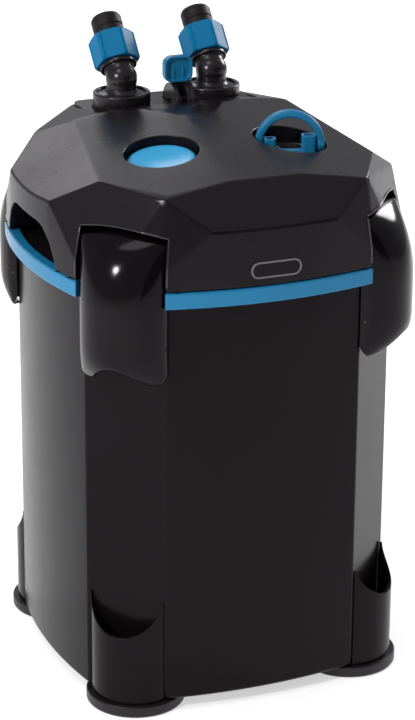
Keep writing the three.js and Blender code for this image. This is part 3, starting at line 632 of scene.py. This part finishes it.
def make_lip(head, degrees, name):
    """A rolled bead along the mouth of a latch recess, laid on the head's own surface."""
    turn = Matrix.Rotation(math.radians(degrees), 4, "Z")
    line = [(-30.3, z) for z in range(289, 318, 2)]
    line += [(30.3 * (step / 14 - 1), 319 + 3.2 * (1 - (step / 14 - 1) ** 2)) for step in range(29)]
    line += [(30.3, z) for z in range(317, 288, -2)]
    points = []
    for v, z in line:
        start = turn @ Vector((200, v, z))
        hit, place, _, _ = head.ray_cast(start * MM, turn.to_3x3() @ Vector((-1, 0, 0)))
        if hit and (turn.inverted() @ (place / MM)).x > 112:
            points.append(place / MM)
    lip = build(name, *tube(points, 0.75))
    return soften(lip, 0)


HEAD_SHELL = stand_for(make_head(), HEAD_SKIN, "head_cover")
for corner, degrees in CORNERS.items():
    lip = make_lip(HEAD_SHELL, degrees, f"recess_lip_{corner}")
    # the lips take the paler plastic, a painted highlight along the recess rims
    lip.data.materials.append(LIP_PAINTED_HIGHLIGHT)
    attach(lip, "head")

# ---------------------------------------------------------------- latches

EDGE_STEPS = [0, 0.12, 0.4, 0.8, 1.25, 1.7]
LATCH_BACK = 119.6


def latch_front(v, z, half, low, high):
    """How far out the face of a latch stands at a place, with its rim rolled over."""
    bulge = 110.6 + math.sqrt(32 ** 2 - v * v) - LATCH_BACK
    if z > 272:
        bulge *= max(0, 1 - ((z - 272) / 46.5) ** 2) ** 0.72
    elif z < 251:
        bulge *= 1 - 0.5 * ((251 - z) / 26) ** 3
    out = LATCH_BACK + bulge
    for gap in (half - abs(v), z - low, high - z):
        if gap < 1.7:
            out -= 1.7 - math.sqrt(1.7 ** 2 - (1.7 - gap) ** 2)
    return out


def latch_sheet(half, drop, thin):
    """Rows of points from the lower edge to the back edge at the top."""
    inner = [-half + 1.7 + (2 * half - 3.4) * i / 44 for i in range(1, 44)]
    across = [-half + e for e in EDGE_STEPS] + inner + [half - e for e in reversed(EDGE_STEPS)]
    columns = []
    for v in across:
        low = 225 + (11.5 * (1 - (v / 18) ** 2) if abs(v) < 18 else 0)
        if abs(v) > half - 6:
            low = 225 + 7 - 7 * math.sqrt(1 - ((abs(v) - half + 6) / 6) ** 2)
        high = 318 - drop - 4 * (v / half) ** 2
        span = high - low - 3.4
        zs = [low + e for e in EDGE_STEPS] + [low + 1.7 + span * i / 60 for i in range(1, 60)]
        zs += [high - e for e in reversed(EDGE_STEPS)]
        column = [(latch_front(v, z, half, low, high) - thin, v, z) for z in zs]
        column.append((LATCH_BACK, v, high))
        columns.append(column)
    first = [(LATCH_BACK, v, z) for _, v, z in columns[0]]
    last = [(LATCH_BACK, v, z) for _, v, z in columns[-1]]
    return [first, *columns, last]


def make_latch():
    outer = latch_sheet(29, 0, 0)
    inner = latch_sheet(26.3, 2.7, 2.7)
    rows = len(outer[0])
    vertices = [p for column in [*outer, *inner] for p in column]
    offset = len(outer) * rows
    faces = []
    for i in range(len(outer) - 1):
        for j in range(rows - 1):
            quad = (i * rows + j, (i + 1) * rows + j, (i + 1) * rows + j + 1, i * rows + j + 1)
            faces.append(quad)
            faces.append(tuple(offset + k for k in reversed(quad)))
    border = [(i, 0) for i in range(len(outer))] + [(len(outer) - 1, j) for j in range(1, rows)]
    border += [(i, rows - 1) for i in range(len(outer) - 2, -1, -1)] + [(0, j) for j in range(rows - 2, 0, -1)]
    for (i, j), (k, m) in zip(border, border[1:] + border[:1]):
        a, b = i * rows + j, k * rows + m
        faces.append((a, b, offset + b, offset + a))
    lever = build("latch", vertices, faces)
    ears = []
    for side in (-1, 1):
        ears.append(lying_y(rod(5, -1.2, 1.2, 48), (117, side * 27.7, 302)))
        ears.append(box(117, 121, side * 27.7 - 1.2, side * 27.7 + 1.2, 297, 307))
    join(lever, *ears)
    cut(lever, lying_y(rod(1.68, -40, 40, 32), LATCH_PIVOT), lying_y(rod(1.28, -40, 40, 32), HOOK_PIVOT),
        box(118, 120.9, -12.6, 12.6, 224, 229))
    return soften(lever, 0, sharp=50)


at_corners(make_latch(), LATCH_SKIN, "latch", "latch_lever")

# ---------------------------------------------------------------- priming button


def make_button():
    top = 348
    outer = [(0, top - 1.6), (5, top - 1.5), (10, top - 1.15), (14, top - 0.65), (17, top - 0.2), (18.8, top),
             (20.2, top - 0.15), (21.2, top - 0.7), (21.8, top - 1.6), (22, top - 3), (22, 318)]
    inner = [(19.8, 318), (19.8, top - 6.4), (19.2, top - 5.4), (16, top - 4.8), (0, top - 4.6)]
    vertices, faces = spun([*outer, *inner], 96)
    leaning = []
    for x, y, z in vertices:
        share = min(1, max(0, (z - 325) / 12))
        leaning.append((x + BUTTON_AT[0], y + BUTTON_AT[1], z + share * (0.1185 * x + 0.1115 * y)))
    return soften(build("button_cap", leaning, faces), 0)


stand_for(make_button(), BLUE_GLOSS, "priming_button")


def make_spring():
    """A round-wire compression spring with closed ends, under the button."""
    wire, radius, turns, low, high, count = 0.9, 8.4, 7.5, 285.6, 338.0, 320
    line = []
    for step in range(count):
        share = step / (count - 1)
        rise = min(1, max(0, (share - 0.1) / 0.8)) * (high - low - 3.6) + 1.8 * min(1, share / 0.1)
        rise += 1.8 * min(1, max(0, (share - 0.9) / 0.1))
        angle = 2 * math.pi * turns * share
        line.append(Vector((BUTTON_AT[0] + radius * math.cos(angle), BUTTON_AT[1] + radius * math.sin(angle),
                            low + rise)))
    return soften(build("button_spring", *tube(line, wire, 8)), 0)


SPRING = stand_for(make_spring(), STEEL, "priming_spring")
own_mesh(SPRING)

# ---------------------------------------------------------------- pre-filter cap, bracket and bail

AT_CAP = Matrix.Translation((*CAP_AT, 0)) @ Matrix.Rotation(BAIL_TURN, 4, "Z")


def make_cap():
    profile = rounded([
        (0, 337, 0), (23.3, 337, 0.4), (23.3, 344, 0.7), (21.3, 344, 0.7), (20.7, 342, 0.6), (17, 342, 0.4),
        (16.6, 341.4, 0.3), (0, 341.4, 0),
    ], 4, closed=False)
    cap = build("prefilter_lid", *moved(spun(profile, 96), AT_CAP))
    for turn in range(8):
        angle = math.radians(22.5 + 45 * turn)
        rib = moved(box(17.6, 20.2, -1.1, 1.1, 341.2, 343.2), AT_CAP @ Matrix.Rotation(angle, 4, "Z"))
        join(cap, rib)
    return soften(cap, 0.25, 50, 2)


def make_bracket():
    low = 342.3
    bracket = build("bail_posts", *moved(box(-12, 12, -3, 3, low, 345.3), AT_CAP))
    cheeks = [
        prism(rounded_box(7.4, 16.6, -4.3, 4.3, 2.2, 5), low, 355),
        prism(rounded_box(-16.3, -8.8, -4.0, 4.0, 1.8, 5), low, 353),
        along_y(rounded([(-9, low, 0), (-2, low, 0), (-9, 349.5, 2)], 4), -1.2, 1.2),
    ]
    join(bracket, *[moved(cheek, AT_CAP) for cheek in cheeks])
    hollows = [prism(rounded_box(9.2, 14.8, -2.6, 2.6, 1.2, 4), 351.4, 360),
               prism(rounded_box(-14.6, -10.5, -2.4, 2.4, 1, 4), 351.2, 360)]
    cut(bracket, *[moved(hollow, AT_CAP) for hollow in hollows],
        moved(lying_x(rod(1.68, -30, 30, 32), (0, 0, BAIL_Z)), AT_CAP))
    return soften(bracket, 0.5, 45, 3)


def make_bail():
    section = rounded([(-2.1, -3.6, 1.5), (2.5, -3.6, 1.5), (2.5, 3.6, 1.5), (-2.1, 3.6, 1.5)], 4)
    rings = []
    for step in range(49):
        angle = math.pi * step / 48
        rings.append([((19.6 + r) * math.cos(angle), y, BAIL_Z + (19.6 + r) * math.sin(angle)) for r, y in section])
    bail = build("bail_strap", *moved(loft(rings), AT_CAP))
    ends = []
    for side in (-1, 1):
        hub = rounded([(0, -1.9, 0), (4.4, -1.9, 0.8), (4.4, 2.3, 0.8), (0, 2.3, 0)], 3, closed=False)
        ends.append(moved(lying_x(spun(hub, 48), (side * 19.6, 0, BAIL_Z)), AT_CAP))
        ends.append(moved(lying_x(rod(1.6, -3.5, 3.5, 32), (side * 15, 0, BAIL_Z)), AT_CAP))
    join(bail, *ends)
    return soften(bail, 0)


stand_for(make_cap(), DARK, "prefilter_cap")
stand_for(make_bracket(), BLUE, "bail_bracket")
stand_for(make_bail(), BLUE, "bail_handle")

# ---------------------------------------------------------------- nozzles


def along_tail(shape, side):
    turn = Matrix.Rotation(-LEAN, 4, "X")
    return moved(shape, Matrix.Translation((side * NOZZLE_X, NOZZLE_Y, BEND_Z)) @ turn)


def make_socket(side, name):
    profile = rounded([
        (8, 284.3, 0), (10.5, 284.3, 0), (10.5, 346, 0), (18.8, 346, 0), (18.8, 366, 1.3), (16.1, 366, 0.5),
        (16.1, 362, 0), (8, 362, 0),
    ], 4)
    socket = build(name, *spun(profile, 96, (side * NOZZLE_X, NOZZLE_Y, 0)))
    if side > 0:
        hump = [(NOZZLE_Y - BOSS_RADIUS, 346), (NOZZLE_Y + BOSS_RADIUS, 346),
                *arc((NOZZLE_Y, BOSS_Z), BOSS_RADIUS, 0, 180, 48)]
        boss = build("boss", *along_x(hump, VALVE_X - 5.4, NOZZLE_X - 12))
        cut(boss, rod(17.8, 300, 380, 96, (NOZZLE_X, NOZZLE_Y, 0)))
        join(socket, boss)
        collar = [(12.9, -0.2), (14.6, -0.2), (14.6, 2.2), (12.9, 2.2)]
        join(socket, cross(build("collar", *lying_x(spun(collar, 64), (VALVE_X + 5.6, NOZZLE_Y, BOSS_Z))),
                           box(0, 40, 0, NOZZLE_Y + 30, 346, 380)))
        cut(socket, box(VALVE_X - 2.8, VALVE_X + 2.8, NOZZLE_Y - 20, NOZZLE_Y + 5.6, 348.9, 380),
            lying_x(rod(3.06, -60, 18, 48), (10, NOZZLE_Y, BOSS_Z)))
    return soften(socket, 0.7, 48, 3)


def make_elbow(side, name):
    stub = rounded([
        (0, 362.3, 0), (16, 362.3, 0.2), (16, 364.6, 0.5), (11.2, 365.6, 1.2), (9.9, 367.6, 1.2),
        (9.9, BEND_Z, 0), (0, BEND_Z, 0),
    ], 4, closed=False)
    branch = rounded([
        (0, 0, 0), (9.6, 0, 0), (9.6, 7.4, 0.6), (12.2, 7.4, 0.5), (12.2, 9.9, 0.5), (9.6, 9.9, 0.3),
        (9.6, 21.2, 0.3), (0, 21.2, 0),
    ], 4, closed=False)
    at = (side * NOZZLE_X, NOZZLE_Y, BEND_Z)
    elbow = build(name, *spun(stub, 72, (side * NOZZLE_X, NOZZLE_Y, 0)))
    join(elbow, ball(10.4, at), along_tail(spun(branch, 72), side))
    cut(elbow, rod(6.6, 350, BEND_Z, 48, (side * NOZZLE_X, NOZZLE_Y, 0)), ball(6.6, at),
        along_tail(rod(6.6, 0, 30, 48), side))
    return soften(elbow, 0)


def make_nut(side, name):
    outline = []
    for turn in range(6):
        facing = math.radians(60 * turn - 112)
        normal = Vector((math.cos(facing), math.sin(facing)))
        across = Vector((-normal.y, normal.x))
        for v, out, radius in ((-7.6, 13.3, 0.5), (-6.6, 13.9, 0.3), (-5.7, 13.3, 0.3), (5.7, 13.3, 0.3),
                               (6.6, 13.9, 0.3), (7.6, 13.3, 0.5)):
            point = normal * out + across * v
            outline.append((point.x, point.y, radius))
    body = build(name, *prism(rounded(outline, 3), 10.3, 30.2))
    rounding = rounded([(0, 10.3, 0), (14.2, 10.3, 1.0), (15.5, 11.6, 0.8), (15.5, 28.6, 0.9), (13.8, 30.2, 0.8),
                        (0, 30.2, 0)], 4, closed=False)
    bore = [(0, 9), (9.85, 9), (9.85, 27), (8.95, 27), (8.95, 32), (0, 32)]
    cross(body, spun(rounding, 96))
    cut(body, spun(bore, 64))
    soften(body, 0.25, 40, 2)
    body.data.transform(Matrix.Translation(Vector((side * NOZZLE_X, NOZZLE_Y, BEND_Z)) * MM)
                        @ Matrix.Rotation(-LEAN, 4, "X"))
    return body


def make_tail(side, name):
    profile = rounded([
        (6.8, 21.5, 0.2), (9.6, 21.5, 0.2), (9.6, 26.6, 0.2), (8.8, 26.6, 0), (8.8, 30.6, 0), (10.1, 30.6, 0.4),
        (10.1, 35.4, 0.3), (9.3, 36.2, 0.2), (10.1, 37.0, 0.3), (10.1, 43.2, 0.8), (9.0, 45, 0.6), (6.8, 45, 0.5),
    ], 3)
    return soften(build(name, *along_tail(spun(profile, 72), side)), 0)


def make_plate():
    outline = rounded_box(-PLATE["half"], PLATE["half"], PLATE["front"], PLATE["back"], 5.6)
    plate = build("nozzle_deck", *prism(outline, PLATE["bottom"], PLATE["top"]))
    cut(plate, *[rod(19.3, 340, 370, 96, (side * NOZZLE_X, NOZZLE_Y, 0)) for side in (-1, 1)],
        box(VALVE_X - 5.75, NOZZLE_X, NOZZLE_Y - 13.85, NOZZLE_Y + 13.85, 340, 370))
    return soften(plate, 0.5, 45, 3)


def make_valve():
    middle = VALVE_X
    y = NOZZLE_Y
    outline = rounded_box(middle - 9.8, middle + 9.8, 368.8, 386, 5.2)
    paddle = build("valve_paddle", *along_y(outline, y - 2.6, y + 2.6))
    dish = rounded_box(middle - 8.2, middle + 8.2, 370.4, 384.5, 4.0)
    join(paddle, lying_x(rod(5, -2.5, 2.5, 64), (middle, y, BOSS_Z)),
         box(middle - 2.5, middle + 2.5, y - 2.2, y + 2.2, BOSS_Z, 372))
    cut(paddle, along_y(dish, y - 4, y - 0.8), along_y(dish, y + 0.8, y + 4))
    ribs = [box(middle + x - 0.5, middle + x + 0.5, y - 1.5, y + 1.5, 370, 378) for x in (-3.4, 3.4)]
    join(paddle, *ribs)
    cut(paddle, lying_x(rod(3.06, -5, 5, 48), (middle, y, BOSS_Z)))
    return soften(paddle, 0.6, 40, 3)


for label, side in (("left", -1), ("right", 1)):
    stand_for(make_socket(side, f"socket_{label}"), DARK, f"hose_socket_{label}")
    stand_for(make_elbow(side, f"elbow_{label}"), DARK, f"hose_elbow_{label}")
    stand_for(make_nut(side, f"nut_{label}"), NUT_BLUE, f"hose_nut_{label}")
    stand_for(make_tail(side, f"tail_{label}"), MATT_DARK, f"hose_tail_{label}")
stand_for(make_plate(), HEAD_SKIN, "nozzle_plate")
valve = make_valve()
stand_for(valve, BLUE, "valve_lever")
# the hub and neck are moulded in the same black as the boss they turn in
valve.data.materials.append(DARK)
for polygon in valve.data.polygons:
    if polygon.center.z < NECK_TOP * MM:
        polygon.material_index = 1

# ---------------------------------------------------------------- badge

BADGE = dict(half=16.6, low=290.9, high=301.3, face=-119.95, back=-117.5)


def pill(margin):
    half = BADGE["half"] - margin
    low, high = BADGE["low"] + margin, BADGE["high"] - margin
    return rounded_box(-half, half, low, high, (high - low) / 2 - 0.02, 12)


def make_badge():
    plate = build("badge_plate", *along_y(pill(1.1), BADGE["face"] + 0.35, BADGE["back"]))
    rim = build("badge_rim", *along_y(pill(0), BADGE["face"], BADGE["back"] + 0.2))
    cut(rim, along_y(pill(1.1), -125, -110))
    for piece, material in ((soften(plate, 0.1, 50, 2), LATCH_SKIN), (soften(rim, 0.25, 50, 3), BADGE_RIM)):
        piece.data.materials.clear()
        piece.data.materials.append(material)
        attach(piece, "head")


BADGE_RIM = plastic("badge_rim", (0.120, 0.118, 0.122), 0.30, 0.05, 900, 0.04, specular=0.5)
make_badge()

# ---------------------------------------------------------------- filter media and foam

MEDIA = plastic("media_fibre", (0.62, 0.58, 0.50), 0.92, 0.06, 1400, 0.9, specular=0.1)
FOAM = plastic("foam_blue", (0.040, 0.110, 0.210), 0.95, 0.04, 1600, 1.0, specular=0.1)


def ripple(x, y, z, depth):
    """An uneven push, so that a pad of layered fibre isn't flat."""
    wave = math.sin(0.61 * x + 1.7 * math.sin(0.23 * y)) + math.sin(0.53 * y + 1.3 * math.sin(0.31 * z + 0.2 * x))
    return depth * (wave + 0.6 * math.sin(0.9 * z + 0.4 * x - 0.5 * y)) / 2.6


def make_media(number):
    node = frame["nodes"][f"media_block_{number}"]
    pad = bpy.data.objects.new(f"media_pad_{number}", node.data.copy())
    bpy.context.scene.collection.objects.link(pad)
    remesh = pad.modifiers.new("even", "REMESH")
    remesh.mode = "VOXEL"
    remesh.voxel_size = 0.005
    settle(pad)
    for vertex in pad.data.vertices:
        x, y, z = [c / MM for c in vertex.co]
        layer = 0.35 * math.sin(2 * math.pi * z / 12)
        vertex.co += vertex.normal * MM * (ripple(x, y, z, 0.5) + layer - 0.9)
    return pad


for number in (1, 2, 3):
    pad = stand_for(soften(make_media(number), 0, sharp=180), MEDIA, f"media_block_{number}")


def make_foam():
    low, high = [[c / MM for c in corner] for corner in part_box("prefilter_foam")]
    middle = ((low[0] + high[0]) / 2, (low[1] + high[1]) / 2, 0)
    outer = (high[0] - low[0]) / 2
    profile = rounded([(FOAM_BORE, low[2], 0.8), (outer - 0.2, low[2], 1.5), (outer - 0.2, high[2], 1.5),
                       (FOAM_BORE, high[2], 0.8)], 4)
    return soften(build("foam_sleeve", *spun(profile, 96, middle)), 0)


stand_for(make_foam(), FOAM, "prefilter_foam")

# ---------------------------------------------------------------- CAD nodes that stay

KEPT = {
    "dark_part": DARK, "rubber": RUBBER, "steel": STEEL,
    "pump_part": plastic("pump_plastic", (0.024, 0.026, 0.028), 0.42, 0.08, 1000, 0.10),
    "basket": plastic("basket_plastic", (0.030, 0.033, 0.037), 0.46, 0.08, 900, 0.12),
    "media": MEDIA, "foam": FOAM,
    "magnet": plastic("magnet_ferrite", (0.070, 0.070, 0.075), 0.45, 0.1, 900, 0.2),
    "impeller": plastic("impeller_plastic", (0.72, 0.70, 0.64), 0.4, 0.08, 900, 0.05),
    "casing": CASING, "head": HEAD_SKIN, "latch": LATCH_SKIN, "accent": BLUE,
}
for node, obj in frame["nodes"].items():
    if obj.hide_render:
        continue
    for material_slot in obj.material_slots:
        material_slot.material = KEPT[SLOT[node]]
    round_edges(obj, 0.25, 40, 2)
    keep_sharp(obj)

# ---------------------------------------------------------------- floor, light and camera

floor_material = bpy.data.materials.new("floor")
floor_material.use_nodes = True
floor_shader = floor_material.node_tree.nodes["Principled BSDF"]
floor_shader.inputs["Base Color"].default_value = (0.86, 0.86, 0.87, 1)
floor_shader.inputs["Roughness"].default_value = 0.7
floor_shader.inputs["Emission Color"].default_value = (1, 1, 1, 1)
floor_shader.inputs["Emission Strength"].default_value = 0.56
floor = build("floor", [(-6000, -6000, 0), (6000, -6000, 0), (6000, 6000, 0), (-6000, 6000, 0)], [(0, 1, 2, 3)])
floor.data.materials.append(floor_material)

world = bpy.data.worlds.new("studio")
bpy.context.scene.world = world
world.use_nodes = True
sky = world.node_tree.nodes["Background"]
sky.inputs["Color"].default_value = (0.95, 0.96, 1.0, 1)
sky_place = world.node_tree.nodes.new("ShaderNodeTexCoord")
sky_split = world.node_tree.nodes.new("ShaderNodeSeparateXYZ")
sky_fade = world.node_tree.nodes.new("ShaderNodeMapRange")
sky_fade.inputs["From Min"].default_value = 0.1
sky_fade.inputs["From Max"].default_value = 0.7
sky_fade.inputs["To Min"].default_value = 0.34
sky_fade.inputs["To Max"].default_value = 0.36
world.node_tree.links.new(sky_place.outputs["Generated"], sky_split.inputs[0])
world.node_tree.links.new(sky_split.outputs["Z"], sky_fade.inputs["Value"])
world.node_tree.links.new(sky_fade.outputs["Result"], sky.inputs["Strength"])

# a black card on the camera's side, out of its sight, keeps the front walls deep
card_material = bpy.data.materials.new("card")
card_material.use_nodes = True
card_shader = card_material.node_tree.nodes["Principled BSDF"]
card_shader.inputs["Base Color"].default_value = (0.004, 0.004, 0.004, 1)
card_shader.inputs["Specular IOR Level"].default_value = 0
card = build("card", [(-300, -2300, 60), (2300, -2300, 60), (2300, -2300, 1500), (-300, -2300, 1500)],
             [(0, 1, 2, 3)])
card.data.materials.append(card_material)
card.visible_camera = False


def softbox(name, at, towards, size, power, shape="RECTANGLE"):
    light = bpy.data.lights.new(name, "AREA")
    light.shape = shape
    light.size = size[0]
    if shape == "RECTANGLE":
        light.size_y = size[1]
    light.energy = power
    obj = bpy.data.objects.new(name, light)
    obj.location = at
    obj.rotation_euler = (Vector(towards) - Vector(at)).to_track_quat("-Z", "Y").to_euler()
    bpy.context.scene.collection.objects.link(obj)


CENTRE = (0, 0, 0.2)
softbox("back_left_window", (0.0, 2.3, 1.45), CENTRE, (1.6, 0.6), 6)
softbox("right_bank", (1.6, 0.9, 1.0), (1.2, 0.6, 0), (0.8, 0.8), 6)
softbox("right_glow", (1.5, 0.60, 0.90), CENTRE, (0.55, 0.55), 11, shape="DISK")
softbox("left_top", (-0.75, -0.35, 1.9), CENTRE, (0.7, 0.7), 5)
softbox("key_spot", (-1.50, -0.66, 1.13), (0, 0, 0.25), (0.22, 0.22), 15, shape="DISK")

camera = bpy.data.cameras.new("camera")
camera.lens = 127.25
camera.sensor_width = 36
camera.shift_x = 0.0033
view = bpy.data.objects.new("camera", camera)
right = Vector((0.9253, -0.3791, 0.0058))
up = Vector((0.1270, 0.3241, 0.9374))
forward = Vector((0.3573, 0.8667, -0.3481))
turn = Matrix((right, up, -forward)).transposed().to_4x4()
view.matrix_world = Matrix.Translation((-0.5964, -1.4536, 0.7792)) @ turn
bpy.context.scene.collection.objects.link(view)
bpy.context.scene.camera = view
bpy.context.scene.view_settings.view_transform = "Standard"
